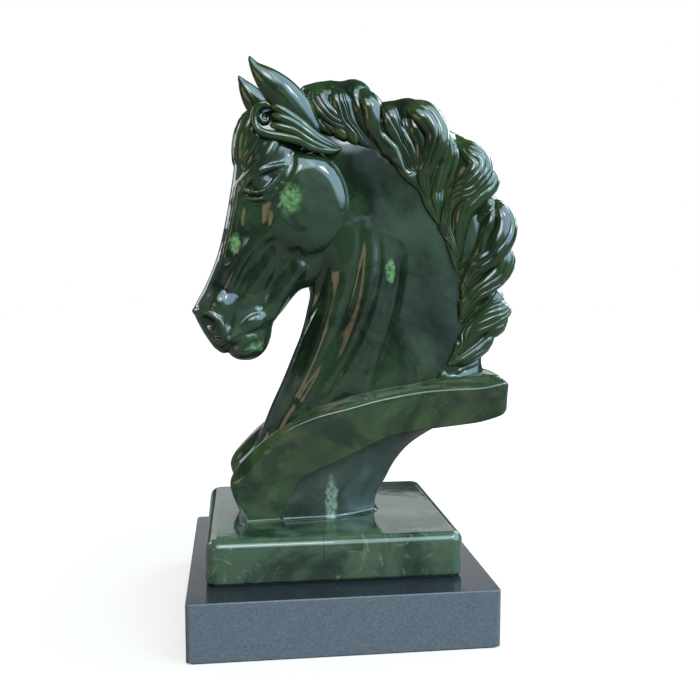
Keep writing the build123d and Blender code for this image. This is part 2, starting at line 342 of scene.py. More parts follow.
# %% Nostrils, lips and chin
head_clay.lump((-63.5, 7, 173.5), (7.5, 7.8, 9), blend=2.5)
head_clay.lump((-46, 6.5, 164.5), (8.5, 7.0, 6.5), tilt=25, blend=2)
head_clay.rod(
    [(-76, 4, 170), (-72.5, 8.6, 170.2), (-66.5, 12.4, 167), (-62.8, 13.6, 161), (-62, 12.6, 156)],
    [1.8, 2.4, 2.6, 2.2, 1.4], 1.6)
head_clay.lump((-70, 12.5, 163), (6.8, 4.2, 4.0), tilt=-47, flare=25, blend=1.4, carve=True)
head_clay.groove([(-72.5, 166.5), (-70, 163.5), (-67.5, 160.5)], 0.6, [1.4, 2.8, 1.4], 1.0)
head_clay.groove([(-57, 169), (-59.5, 163.5), (-60.5, 159)], 0.8, [0.6, 1.9, 0.8], 1.6)
head_clay.rod(
    [(-66, 7, 155.2), (-61, 9.5, 154), (-56.5, 10.5, 156), (-51, 10.2, 158.6)],
    [1.8, 2.6, 2.4, 1.4], 1.6)
head_clay.rod([(-55, 7.5, 149), (-50, 9, 152.4), (-45, 9.2, 155)], [1.8, 2.2, 1.4], 1.6)
head_clay.lump((-50, 3, 148.5), (8, 8, 5.4), tilt=12, blend=2.0)
head_clay.rod([(-65.5, 0, 147.6), (-64, 6, 148)] + head_clay.on_skin(
    [(-61.5, 149.8), (-58.2, 153), (-53, 156.6), (-46.5, 158.4), (-42, 160.4)], 0.1),
    [1.0, 1.1, 1.2, 1.3, 1.2, 1.0, 0.4], 0.7, carve=True)
head_clay.groove([(-56, 161), (-52, 165.8), (-46.5, 169.2), (-40.5, 170)], 0.3, [0.4, 0.9, 0.9, 0.3], 1.2)
head_clay.groove([(-54.5, 147.6), (-50, 150.6), (-45, 153.6)], 0.3, [0.4, 0.9, 0.4], 1.0)

# %% The hollow inside the forelock's curl
head_clay.lump((-39, 15.5, 275), (5.2, 5.5, 5.2), blend=1.2, carve=True)
head = head_clay.mesh("bust_head", HEAD_YAW, HEAD_PIVOT_X)
print("head:", len(head.data.polygons), "faces")

# %% [markdown]
# The neck. It is the same kind of blank: an arched silhouette, thick at the collar, thin at the
# throat. The long muscles that run down from the jaw are rods laid in it with soft meetings.

# %% The neck
NECK_OUTLINE = [
    (-46, 84), (-41, 96), (-34, 114.5), (-27, 129.5), (-20, 147), (-15.5, 159), (-12, 170), (-10.8, 177),
    (-14, 190), (-22, 215), (-24, 245), (-20, 272), (-12, 288), (2, 293.5), (14, 293), (28, 288),
    (44, 283), (59, 273), (72, 260), (84, 246), (92, 228), (97, 208), (97, 190), (95, 170), (91, 152),
    (87, 138), (86, 122), (60, 113), (25, 108), (-5, 97), (-30, 82),
]
NECK_HALF_WIDTHS = [
    (-36, 108, 8), (-24, 130, 10), (-14, 155, 11), (-8, 176, 11), (-5, 130, 17), (2, 160, 18),
    (20, 128, 22), (45, 135, 23), (70, 135, 20), (30, 160, 21), (58, 160, 19), (22, 200, 20),
    (50, 200, 17), (78, 192, 15), (73, 228, 14), (42, 240, 17), (10, 250, 17), (30, 275, 13),
    (0, 280, 12), (60, 260, 13), (88, 165, 14), (80, 132, 16), (-20, 95, 14), (0, 105, 20), (-15, 250, 12),
]
neck_clay = Clay((-52, -32, 74), (112, 32, 306), 1.0, mirrored=True)
neck_clay.relief(NECK_OUTLINE, NECK_HALF_WIDTHS, 22.0, even=16.0)
neck_clay.rod(
    [(-4, 3, 180), (-9, 4, 158), (-16.5, 4, 137), (-27, 4, 114), (-38, 4, 92)],
    [6, 6.5, 6.5, 6, 5], 1.6)
neck_clay.rod(
    [(14, 4, 240), (11, 6, 222), (8.5, 7.5, 203), (6, 9, 182), (0, 10, 158), (-9, 10, 132), (-26, 9, 104)],
    [7, 8, 8.5, 9, 9.5, 9, 7], 4.5)
neck_clay.rod(
    [(24, 4, 246), (24, 6.5, 228), (23, 8.5, 210), (22, 11, 192), (17, 12, 164), (6, 12, 136),
     (-12, 11, 110)],
    [7.5, 8, 9, 9.5, 10.5, 10, 8], 4.5)
for crease in (
    [(-2, 208), (-5, 188), (-12, 168), (-25, 142), (-38, 116)],
    [(15, 222), (15, 202), (8, 172), (-5, 146), (-20, 121)],
    [(24, 222), (26, 199), (22, 176), (10, 148), (-4, 124)],
    [(37, 214), (38, 195), (33, 168), (26, 146), (20, 127)],
):
    line = neck_clay.on_skin(crease, 0.5)
    line[0] = (line[0][0], line[0][1] + 4.0, line[0][2])
    neck_clay.rod(line, [0.1, 0.9, 1.1, 0.9, 0.2], 3.6, carve=True)
neck = neck_clay.mesh("bust_neck")
print("neck:", len(neck.data.polygons), "faces")

# %% [markdown]
# The ears. Each is a leaf that narrows to a tip, with a cup carved in its inner side. They lean
# differently, as a listening horse's do, so each gets its own line: x, y, z and radius.

# %% Ears
NEAR_EAR = [
    (-16, -9, 271, 10.5), (-22.5, -11.5, 279, 10.5), (-29, -13, 286.5, 9.3), (-34.5, -13.5, 291.6, 7.8),
    (-39.3, -13.5, 296, 5.6), (-43.4, -13, 300, 3.2), (-46, -12.5, 304, 1.6), (-46.8, -12, 306, 0.7),
]
FAR_EAR = [
    (-26, 9, 274, 9), (-33, 10.5, 280.5, 8.6), (-39.5, 11, 286.5, 7), (-44, 11, 292.2, 4.8),
    (-47.2, 11, 296.8, 2.4), (-49, 11, 300, 0.9),
]
ear_clay = Clay((-56, -28, 258), (-2, 28, 312), 0.7)
for ear in (NEAR_EAR, FAR_EAR):
    ear_clay.rod([p[:3] for p in ear], [p[3] for p in ear], 1.5, flat=0.7)
    cup = [(x - 0.35 * r, y + 0.75 * r, z) for x, y, z, r in ear[1:-2]]
    ear_clay.rod(cup, [r * 0.5 for x, y, z, r in ear[1:-2]], 1.6, carve=True)
ears = ear_clay.mesh("bust_ears", HEAD_YAW, HEAD_PIVOT_X)
print("ears:", len(ears.data.polygons), "faces")

# %% [markdown]
# The mane. Locks of carved hair are ribbons with a few sharp furrows that run their whole
# length and close up at the tip. Swept rings of points keep those furrows crisp, where voxels
# would blur them. The path of each lock is drawn in the side view, and the rolled crest of the
# neck gives its place across the stone.

# %% A furrowed lock
LOCK_STEPS = 9
RIDGE_SAMPLES = 8


def unit(vectors):
    """Vectors of length 1."""
    return vectors / np.maximum(np.linalg.norm(vectors, axis=-1, keepdims=True), 1e-9)


def lock_section(ridges, furrow):
    """Across a lock: reach from -1 to 1, the rise of its ridges, and which points lie underneath."""
    step = 0.5 - 0.5 * np.cos(np.pi * np.arange(RIDGE_SAMPLES) / RIDGE_SAMPLES)
    reach = np.concatenate([(r + step) / ridges for r in range(ridges)] + [[1.0]]) * 2.0 - 1.0
    within = np.concatenate([np.tile(step, ridges), [0.0]])
    bulge = np.sqrt(np.clip(1.0 - (2.0 * within - 1.0) ** 2, 0.0, 1.0))
    dome = np.sqrt(np.clip(1.0 - reach**2, 0.0, 1.0))
    rise = dome * (1.0 - furrow * (1.0 - bulge)) if ridges > 1 else dome
    reach = np.concatenate([reach, [0.6, 0.0, -0.6]])
    rise = np.concatenate([rise, [-0.7, -0.9, -0.7]])
    return reach, rise, np.arange(len(reach)) >= len(reach) - 3


def hanging_lock(points, outward):
    """One plain lock in space, along points that each give x, y, z and a half width."""
    line, wide = np.split(smooth_line(points, LOCK_STEPS), [3], axis=1)
    share = np.linspace(0.0, 1.0, len(line))
    blunt = np.sqrt(np.clip(1.0 - (1.0 - np.minimum(share / 0.09, 1.0)) ** 2, 0.02, 1.0))
    half = np.maximum(wide[:, 0], 0.25) * blunt
    tall = np.maximum(0.9 * wide[:, 0], 0.2) * blunt
    along = unit(np.gradient(line, axis=0))
    side = unit(np.cross(outward, along))
    up = np.cross(along, side)
    reach, rise, _ = lock_section(1, 0.0)
    rings = (
        line[:, None, :]
        + side[:, None, :] * (half[:, None, None] * reach[None, :, None])
        + up[:, None, :] * (tall[:, None, None] * rise[None, :, None])
    )
    return sweep_faces(rings)


def sweep_faces(rings):
    """Joins rings of points into one closed skin with a cap at each end."""
    count, size = rings.shape[:2]
    faces = []
    for i in range(count - 1):
        for j in range(size):
            k = (j + 1) % size
            faces.append((i * size + j, (i + 1) * size + j, (i + 1) * size + k, i * size + k))
    faces.append(tuple(range(size)))
    faces.append(tuple((count - 1) * size + j for j in reversed(range(size))))
    return rings.reshape(-1, 3), faces


def join_skins(name, skins, turn=0.0, pivot_x=0.0):
    """Several closed skins as one object, with every face turned outward."""
    points, faces, start = [], [], 0
    for skin_points, skin_faces in skins:
        points.append(skin_points)
        faces += [tuple(start + v for v in face) for face in skin_faces]
        start += len(skin_points)
    thing = new_mesh(name, np.vstack(points), faces, turn, pivot_x)
    bpy.context.view_layer.objects.active = thing
    thing.select_set(True)
    bpy.ops.object.mode_set(mode="EDIT")
    bpy.ops.mesh.select_all(action="SELECT")
    bpy.ops.mesh.normals_make_consistent(inside=False)
    bpy.ops.object.mode_set(mode="OBJECT")
    thing.select_set(False)
    return thing


# %% [markdown]
# Under the locks lies the mane's body: big smooth waves along the crest, standing three
# millimetres proud of the neck. The waves make the silhouette, and the locks fade in below them.
# Valleys part the waves, and a few wandering furrows run along the back of the crest.

# %% The mane's body
MANE_OUTLINE = [
    (-17, 293), (-10, 297), (-2, 298.5), (5, 300), (11, 300.5), (18, 299), (23, 295.5), (28, 289),
    (34, 289.5), (41, 291), (48, 290), (55, 286), (62, 279), (67, 275), (75, 271.5), (81, 266), (87, 258),
    (93, 251), (97, 243), (97, 238), (101, 230), (104, 221), (106, 212), (106.5, 202), (105, 192),
    (100.5, 185), (102.5, 179), (105, 170), (106, 163), (103.5, 157), (98, 152.5), (93, 147), (90, 140),
    (91, 129), (75, 122), (58, 128), (65, 141), (69, 150), (71, 162), (73, 175), (71.5, 185), (67, 198),
    (63, 209), (58, 219), (52, 227), (48, 236), (42, 241), (37, 246), (34, 251), (28, 256), (21, 259),
    (13, 263.5), (3, 266.5), (-5, 269), (-9, 273), (-12, 280),
]
MANE_HALF_WIDTHS = [
    (-8, 285, 14.5), (5, 285, 16.5), (20, 278, 17.5), (40, 268, 18), (58, 255, 18.5), (75, 243, 18.5),
    (85, 222, 18), (88, 200, 18), (86, 178, 17.5), (86, 160, 17.5), (80, 143, 17), (60, 240, 18),
    (70, 210, 18), (84, 133, 16),
]
MANE_EDGE = 15.0
mane_clay = Clay((-52, -32, 74), (112, 32, 306), 1.0, mirrored=True)
mane_clay.relief(MANE_OUTLINE, MANE_HALF_WIDTHS, MANE_EDGE, smooth=4)
mane_clay.depth = soft_min(mane_clay.depth, neck_clay.depth - 2.6, 3.0)
mane_clay.trim(MANE_OUTLINE, 2.5)
for valley in (
    [(7, 299), (6, 287), (9, 278), (14, 270), (27, 257)],
    [(29, 290), (26, 278), (27, 268), (31, 256)],
    [(38, 290), (37, 277), (38, 266), (43, 250)],
    [(67, 277), (67, 265), (63, 251), (59, 236)],
    [(73, 272), (73, 262), (71, 249), (66, 232), (63, 212)],
    [(98, 240), (90, 230), (79, 216), (76, 200), (73, 188)],
    [(102, 186), (94, 179), (81, 166), (72, 156)],
    [(95, 149), (84, 141), (66, 136)],
):
    for side in (-1, 1):
        points = [(x, side * 18.5, z) for x, z in valley]
        points[0] = (valley[0][0], side * 6.0, valley[0][1] + 1.0)
        mane_clay.rod(points, [3.4] * (len(points) - 1) + [1.6], 5.0, carve=True)
mane_clay.groove([(89, 229), (83, 221), (79, 210), (76, 201)], 1.0, [1.5, 4.0, 3.6, 1.2], 2.0)

# %% Furrows along the crest
CREST = np.array(MANE_OUTLINE[2:34], float)
CREST_HALF = 18.0
inward = unit(np.gradient(CREST, axis=0) @ np.array([[0.0, -1.0], [1.0, 0.0]]))
for offset, wander in ((0.0, 0.0), (4.4, 1.3), (8.8, 1.3)):
    beside = offset + wander * np.sin(1.1 * np.arange(len(CREST)) + offset)
    fall = MANE_EDGE * (1.0 - np.sqrt(1.0 - (beside / CREST_HALF) ** 2))
    line = CREST + inward * fall[:, None]
    furrow = list(zip(line[:, 0], beside, line[:, 1]))
    mane_clay.rod(furrow, [0.3] + [1.5] * (len(CREST) - 2) + [0.3], 1.6, carve=True)
mane_body = mane_clay.mesh("mane_body")
print("mane's body:", len(mane_body.data.polygons), "faces")

# %% [markdown]
# The locks are laid on that body. Each is drawn in the side view as a centre line with half
# widths and a number of ridges. The body's surface gives the third coordinate, point by point,
# so that a wide lock wraps round the crest. Fine locks go on first. Broad ones that swing out
# and back cross over them, and stand higher by the last number in their row.

# %% The locks, from the poll down to the collar
class Flank:
    """One side of a clay body, ready to have locks laid on it."""

    def __init__(self, clay):
        self.low, self.step = clay.low[[0, 2]], clay.step
        self.half = clay.half_widths()
        self.slopes = np.gradient(self.half, self.step)

    def read(self, table, spots):
        """A table's value over (x, z) spots, blended between its cells."""
        place = (spots - self.low) / self.step
        cell = np.clip(np.floor(place).astype(int), 0, np.array(self.half.shape) - 2)
        part = np.clip(place - cell, 0.0, 1.0)
        i, k = cell[..., 0], cell[..., 1]
        low = table[i, k] * (1 - part[..., 0]) + table[i + 1, k] * part[..., 0]
        high = table[i, k + 1] * (1 - part[..., 0]) + table[i + 1, k + 1] * part[..., 0]
        return low * (1 - part[..., 1]) + high * part[..., 1]

    def place(self, line, offsets, side):
        """Points on the body beside a line of (x, z) spots, and the way out of the stone from each.

        A spot past the body's rim is drawn in towards the line.
        """
        spots = line + offsets
        for _ in range(9):
            outside = (self.read(self.half, spots) < 1.5)[..., None]
            spots = np.where(outside, line + 0.8 * (spots - line), spots)
        points = np.stack([spots[..., 0], side * self.read(self.half, spots), spots[..., 1]], -1)
        slopes = [np.clip(self.read(table, spots), -2.5, 2.5) for table in self.slopes]
        return points, unit(np.stack([-slopes[0], np.full_like(slopes[0], side), -slopes[1]], -1))


mane_flank = Flank(mane_clay)
LOCKS = [
    ([(-12, 294, 3.5), (-10, 287, 3), (-8, 279, 2.4), (-5, 272, 3.1), (1, 268, 3.2), (9, 266, 2)], 2),
    ([(-2, 297, 4), (-2, 287, 5), (-1, 280, 4.5), (3, 272, 4.5), (9, 266, 4.4), (19, 260, 1.5)], 2),
    ([(6, 296, 3), (6, 287, 3.1), (8, 279, 3.8), (11, 272, 3.8), (16, 264, 2.5), (27, 256, 0.7)], 1),
    ([(12, 297, 2.6), (13, 287, 2.6), (14, 279, 2.2), (17, 272, 1.8), (21, 264, 1.4),
      (28, 256, 0.5)], 1),
    ([(17, 297, 3), (18, 289, 2.8), (19, 280, 2.3), (21, 272, 2), (23, 264, 1.4), (28, 256, 0.5)], 1),
    ([(21, 295, 3), (23, 287, 3.2), (23, 279, 2.8), (24, 271, 2.4), (26, 264, 1.8), (29, 256, 0.6)], 1),
    ([(28, 287, 2.8), (28, 278, 3), (28, 271, 3.1), (29, 264, 3.3), (30, 259, 3.4), (33, 252, 1.5)], 1),
    ([(33, 287, 2.9), (34, 277, 3), (34, 269, 2.9), (36, 262, 3), (38, 255, 3), (43, 245, 1.5)], 1),
    ([(40, 289, 2.9), (39, 277, 2.8), (40, 270, 2.8), (41, 262, 2.8), (43, 256, 2.2),
      (46, 248, 0.6)], 3),
    ([(46, 289, 3.6), (45, 277, 3.6), (46, 270, 3.8), (49, 263, 3.8), (49, 256, 3), (47, 246, 1.5)], 1),
    ([(51, 287, 2.6), (52, 277, 3.2), (54, 270, 3.4), (56, 263, 3), (54, 254, 3), (52, 247, 2.5),
      (51, 237, 1.2)], 1),
    ([(56, 285, 3.1), (59, 277, 3.4), (60, 269, 2.8), (62, 262, 2.2), (60, 253, 2.1), (57, 246, 2),
      (55, 234, 0.9)], 1),
    ([(61, 280, 4), (63, 271, 4.4), (64, 263, 3.6), (64, 256, 2.8), (61, 247, 2.3), (58, 238, 2),
      (58, 224, 0.9)], 1),
    ([(67, 273, 2), (66, 263, 2.2), (65, 257, 2.2), (63, 249, 2.8), (60, 241, 3.4), (60, 232, 3.2),
      (61, 217, 1.2)], 1),
    ([(71, 272, 2.4), (70, 263, 2.8), (70, 254, 2.5), (68, 246, 2.4), (66, 236, 2.2), (64, 227, 2),
      (64, 209, 0.9)], 1),
    ([(77, 268, 4.3), (76, 260, 4.2), (75, 252, 3.4), (72, 245, 2.2), (69, 234, 1.8),
      (67, 222, 1.5), (67, 205, 0.9)], 1),
    ([(83, 262, 4), (83, 255, 4.2), (77, 247, 3.6), (72, 239, 2.4), (70, 231, 2), (69, 221, 1.6),
      (69, 201, 0.8)], 1),
    ([(88, 255, 3), (87, 247, 3.6), (81, 240, 3.4), (76, 234, 3.1), (73, 228, 2.8), (71, 218, 2.4),
      (70, 200, 0.8)], 1),
    ([(93, 250, 3.4), (93, 242, 3.6), (88, 236, 3.6), (81, 230, 2.8), (77, 223, 2.4), (74, 214, 2),
      (72, 198, 0.8)], 2),
    ([(96, 240, 2), (94, 231, 2.4), (87, 225, 2), (82, 219, 1.9), (79, 212, 1.7), (77, 205, 1.6),
      (74, 194, 0.8)], 1),
    ([(97, 235, 2.4), (100, 224, 3), (102, 214, 3), (98, 206, 3.8), (90, 200, 3), (82, 195, 2.6),
      (74, 186, 1)], 1),
    ([(103, 222, 2), (104, 212, 2.4), (101, 203, 3.3), (93, 197, 3.4), (85, 193, 3.3),
      (79, 186, 3.1), (73, 175, 1)], 1),
    ([(105, 208, 1.7), (105, 201, 2.4), (100, 195, 4.2), (93, 190, 3.9), (87, 184, 3.5),
      (81, 178, 2.8), (74, 168, 0.8)], 1),
    ([(105, 198, 2), (103, 192, 2.4), (95, 187, 2.6), (89, 182, 2.6), (82, 175, 2.4),
      (78, 169, 1.9), (73, 161, 0.6)], 1),
    ([(101, 188, 1.3), (96, 184, 1.9), (92, 179, 2), (87, 173, 1.9), (81, 168, 1.7), (73, 160, 0.6)], 1),
    ([(99, 183, 2.6), (98, 176, 3.6), (93, 172, 3), (86, 167, 2.7), (81, 163, 2.4), (77, 158, 2.4),
      (72, 150, 0.8)], 1),
    ([(103, 177, 2), (102, 169, 3), (97, 165, 3.7), (89, 163, 2.8), (84, 159, 2.5), (80, 154, 2.4),
      (72, 145, 0.8)], 2),
    ([(104, 167, 2.2), (104, 161, 2.4), (97, 158, 3.7), (91, 156, 3), (87, 152, 2.8),
      (80, 147, 2.4), (69, 141, 0.8)], 1),
    ([(101, 158, 1.5), (97, 154, 2.2), (93, 152, 2.4), (88, 148, 2.4), (82, 144, 2.1),
      (75, 141, 1.8), (67, 138, 0.7)], 1),
    ([(94, 151, 1.5), (91, 147, 2), (86, 144, 2), (80, 141, 1.9), (74, 139, 1.6), (68, 137, 0.7)], 1),
    ([(91, 146, 1.6), (88, 142, 1.8), (83, 139.5, 1.8), (79, 138, 1.7), (74, 136.5, 1.4),
      (70, 136, 0.5)], 1),
]
BROAD_LOCKS = [
    ([(-10, 295, 3), (-8.5, 289, 4.4), (-5.5, 282, 5), (0, 275.5, 4.6), (9, 270.5, 3.4),
      (19, 266, 0.8)], 3, 1.4),
    ([(2, 297, 3), (3.5, 290, 4.6), (6, 282, 5.6), (9, 274, 5.4), (15.5, 266, 4), (24, 259, 1)], 4, 1.6),
    ([(16, 297, 3), (18.5, 289, 5), (22, 280, 5), (23.6, 271.5, 4.4), (29, 262.5, 4), (35, 256, 3),
      (42, 245, 0.8)], 1, 2.6),
    ([(29, 287, 2.5), (30.5, 282, 4), (33.5, 274, 5), (38.4, 264.6, 5), (43, 255, 4), (46, 247, 1)], 3, 1.4),
    ([(40, 289, 3), (45, 283, 6), (53, 275, 6.6), (57, 265.7, 5.6), (53.5, 253.7, 4.6),
      (50.6, 243, 3.6), (54, 232, 0.8)], 2, 2.8),
    ([(58, 277, 3), (61, 268, 4.6), (64, 257, 4.4), (60.6, 244, 3.6), (58, 233, 2.8),
      (60.5, 220, 0.8)], 2, 1.4),
    ([(68, 272, 3), (75, 262, 6), (83, 251, 6.6), (77.5, 240, 6), (67.5, 232, 4.6), (64, 218, 3.4),
      (70, 201, 0.8)], 4, 2.4),
    ([(86, 257, 2.5), (88.5, 250, 4), (88.8, 242, 5), (80, 233, 5), (73.5, 224.7, 4),
      (72, 211.6, 3), (74, 198, 0.8)], 2, 1.6),
    ([(95, 238, 2.5), (97, 229, 4.5), (97.5, 215, 6), (90.5, 202, 5.8), (80.7, 193, 4.4),
      (73, 180, 1)], 2, 2.8),
    ([(103, 212, 2.5), (100, 204, 4.5), (96, 192, 5.6), (87.6, 184.4, 5), (78.3, 177, 4),
      (72.5, 165, 1)], 3, 2.0),
    ([(102, 178, 2.5), (98.5, 171, 5), (89, 165.5, 5.4), (78.6, 158, 4.4), (71, 145, 1)], 4, 2.2),
    ([(99, 157, 2.5), (92, 152, 4.4), (83.5, 146.5, 4), (75, 142, 3), (67, 138.5, 0.8)], 3, 1.4),
]


def laid_lock(flank, points, ridges, side, tall=0.75, lift=0.0, furrow=0.42, fade_in=0.42):
    """One lock on a body, along points that each give x, z and a half width.

    Its furrows fade in from the root, and its tip sinks in.
    """
    line, wide = np.split(smooth_line(points, LOCK_STEPS), [2], axis=1)
    share = np.linspace(0.0, 1.0, len(line))[:, None]
    fade = np.clip(share / fade_in, 0.0, 1.0)
    fade = fade * fade * (3.0 - 2.0 * fade)
    sink = np.sqrt(np.clip((1.0 - share) / 0.22, 0.0, 1.0))
    half = np.maximum(wide, 0.3) * (0.5 + 0.5 * fade)
    along = unit(np.gradient(line, axis=0))
    across = np.stack([-along[:, 1], along[:, 0]], 1)
    reach, rise, hidden = lock_section(ridges, furrow)
    points, out = flank.place(line[:, None, :], across[:, None, :] * (half * reach[None, :])[..., None], side)
    height = (half * tall * rise[None, :] + 0.25 + lift * np.sin(np.pi * share) ** 0.7) * fade * sink
    height = np.where(hidden[None, :], -3.0, height - (1.0 - fade))
    return sweep_faces(points + out * height[..., None])


def make_mane(name, side, jitter):
    """All the locks of one side. The far side is the same hair, drawn a little differently."""
    chance = np.random.default_rng(SEED)

    def drifted(lock):
        points = np.array(lock, float)
        points[:, :2] += chance.normal(0.0, jitter, (len(points), 2))
        return points

    skins = [laid_lock(mane_flank, drifted(lock), ridges, side, 0.5) for lock, ridges in LOCKS]
    for lock, ridges, lift in BROAD_LOCKS:
        skins.append(laid_lock(mane_flank, drifted(lock), ridges, side, 0.55, lift, 0.3, 0.3))
    return join_skins(name, skins)


mane_near = make_mane("mane_near_side", -1, 0.0)
mane_far = make_mane("mane_far_side", 1, 0.7)
print("mane:", len(mane_near.data.polygons) + len(mane_far.data.polygons), "faces")

# %% [markdown]
# The forelock. Under the ear a lock curls round a small hollow and its strands fall back over
# the cheek. On the forehead shorter locks hang down to the brow. The curl stands clear of the
# stone, so its strands are drawn in space; the others are laid on the head like the mane.

# %% The curl and its strands
CURL = [
    [(-35.7, -15.5, 279.9, 1.5), (-40, -14.8, 281.3, 1.9), (-43.8, -13.6, 278.5, 2),
     (-44.9, -13, 273.3, 2), (-42.8, -14, 268.1, 2.1), (-38, -16, 265.4, 2.3), (-29.9, -18, 263.9, 2.5),
     (-21.6, -19, 262.1, 2.5), (-13.9, -19, 258.6, 2.2), (-3.9, -17.5, 257.4, 1.8), (3, -15.5, 259, 0.5)],
    [(-36.5, -15, 280.3, 1.4), (-32, -16.5, 279, 2.4), (-27, -17.5, 275.6, 2.8), (-20, -18.5, 270.6, 2.8),
     (-12, -18, 265, 2.6), (-4, -17, 261.6, 2), (3, -15.5, 259.5, 0.5)],
    [(-35.5, -16, 275.5, 1.4), (-30, -18, 273.6, 2.6), (-24, -19, 270.5, 2.8), (-16.5, -19.5, 265.6, 2.7),
     (-9, -18.5, 261.6, 2.2), (1.5, -16, 259.2, 0.5)],
    [(-37, -16, 270, 1.4), (-31, -18, 269, 2.3), (-24, -19.3, 266.8, 2.5), (-16.4, -19.8, 262.2, 2.3),
     (-8, -18.5, 258.9, 1.9), (0, -16.5, 258.2, 0.5)],
    [(-39.5, -11, 277.5, 1), (-41.2, -11.3, 275.2, 1.4), (-40, -11.8, 272.6, 1.5),
     (-37.6, -12.2, 272.8, 1.3), (-37, -12.4, 275, 0.5)],
]
FORELOCK = [
    [(-40, 284, 2), (-45.3, 276.5, 2.8), (-49.4, 268.5, 3), (-51.4, 260, 2.8), (-51.5, 252, 2.2),
     (-50, 244, 0.5)],
    [(-45, 282, 1.4), (-49.8, 274.5, 1.8), (-52, 266, 1.8), (-52.8, 258, 1.6), (-52.4, 250, 0.5)],
    [(-40.5, 268, 1.4), (-44, 263.5, 2.2), (-47.2, 258, 2.2), (-49.6, 252, 1.8), (-50.6, 245, 0.5)],
    [(-43.5, 272, 1.4), (-46.5, 266, 2), (-48.8, 259.5, 2), (-50.4, 252.5, 1.7), (-50.8, 246, 0.5)],
]


def make_forelock(name, side):
    """The curl, its strands and the locks on the forehead, for one side of the head."""
    skins = []
    for lock in CURL:
        skins.append(hanging_lock([(x, -side * y, z, w) for x, y, z, w in lock], (-0.1, side, 0.15)))
    for lock in FORELOCK:
        skins.append(laid_lock(head_flank, lock, 1, side, fade_in=0.12))
    return join_skins(name, skins, HEAD_YAW, HEAD_PIVOT_X)


head_flank = Flank(head_clay)
forelock_near = make_forelock("forelock_near_side", -1)
forelock_far = make_forelock("forelock_far_side", 1)
print("forelock:", len(forelock_near.data.polygons) + len(forelock_far.data.polygons), "faces")

# %% [markdown]
# The collar. One broad ribbon of stone rises from the foot on the left, swings round the chest
# and ends square behind the mane. Each station gives its upper and lower line in the side view,
# and one cross-section with rounded corners is carried along them: hollow between two rims in
# front, and coved up to the neck behind.

# %% The collar's stations
BAND_HALF = 29.0
# upper line x, z, lower line x, z, rim bevel, rise at the middle, rise beside the neck, foot taper, crease
BAND = [
    (-51, 52.8, -26.4, 52.8, 1.5, 0, 0, 4.6, 0.4),
    (-50.8, 54, -26.6, 54, 1.5, 0, 0, 4.9, 0.4),
    (-49.9, 55.6, -27.2, 55.6, 1.5, 0, 0, 6.0, 0.4),
    (-53, 62, -25.6, 62, 1.8, -2, -0.5, 4.6, 0.5),
    (-56.6, 70, -22.8, 71, 3.0, -7, -2, 2.3, 0.6),
    (-58, 77, -19.5, 77, 5.6, -13, -4.5, 0.7, 0.66),
    (-55, 84, -15.5, 80.3, 7.4, -17, -7, 0, 0.7),
    (-48.5, 91.5, -9, 83.5, 7.0, -15, -6.5, 0, 0.7),
    (-40, 99.5, 0, 87, 5.4, -11, -4.5, 0, 0.7),
    (-28, 107.5, 9, 91, 3.6, -5, -1.5, 0, 0.7),
    (-12, 113.5, 20, 96.5, 2.4, 1, 3, 0, 0.7),
    (6, 118, 31.6, 101, 2.2, 5, 4.5, 0, 0.7),
    (25, 122.5, 44, 103.2, 1.6, 6, 5, 0, 0.7),
    (47, 126.3, 58, 104.8, 1.4, 6, 5, 0, 0.7),
    (67, 127.8, 70, 106, 1.4, 7, 5, 0, 0.7),
    (82, 128.2, 82, 107.5, 1.4, 7, 4.5, 0, 0.7),
    (93, 130, 91.5, 110, 1.4, 4, 3, 0.2, 0.7),
    (96.8, 130.6, 95.5, 111.5, 1.4, 1.5, 1, 1.0, 0.7),
    (98.5, 128.6, 97.8, 113.5, 1.4, 0, 0, 2.6, 0.7),
]


def rounded_polygon(corners, radii, parts=4):
    """A closed polygon with each corner turned into a small curve."""
    corners = np.array(corners, float)
    points = []
    for i, corner in enumerate(corners):
        before, after = corners[i - 1] - corner, corners[(i + 1) % len(corners)] - corner
        reach = min(radii[i], 0.46 * np.linalg.norm(before), 0.46 * np.linalg.norm(after))
        start, end = corner + unit(before) * reach, corner + unit(after) * reach
        for t in np.linspace(0.0, 1.0, parts):
            points.append((1 - t) ** 2 * start + 2 * t * (1 - t) * corner + t * t * end)
    return np.array(points)


def collar_section(station):
    """The ribbon's cross-section at one station, as points in the bust's frame."""
    xt, zt, xb, zb, bevel, middle, beside, taper, crease = station
    foot, top = np.array([xb, zb]), np.array([xt, zt])
    tall = float(np.linalg.norm(top - foot))
    up = (top - foot) / tall
    inner = BAND_HALF - 1.0 - 0.5 * bevel
    side = [
        (BAND_HALF - taper, 0.0, 1.2), (BAND_HALF - 0.9 * taper, crease * tall, 1.0),
        (BAND_HALF - 0.7 * taper, tall - bevel, 1.0), (inner, tall, 1.6),
        (inner - 3.6, tall + 0.34 * beside - 0.25, 2.0), (19.5, tall + beside, 2.0),
    ]
    near = [(-y, v, r) for y, v, r in side]
    whole = near + [(0.0, tall + middle, 6.0)] + side[::-1]
    shape = rounded_polygon([(y, v) for y, v, _ in whole], [r for _, _, r in whole])
    return np.stack([foot[0] + shape[:, 1] * up[0], shape[:, 0], foot[1] + shape[:, 1] * up[1]], 1)


stations = smooth_line(BAND, 6)
collar = join_skins("collar_band", [sweep_faces(np.array([collar_section(s) for s in stations]))])
print("collar:", len(collar.data.polygons), "faces")

# %% [markdown]
# The stem under the ribbon: a flat-sided column that leans out to the right as it rises. It is
# set back from the ribbon's side, so a shadow line runs between them.

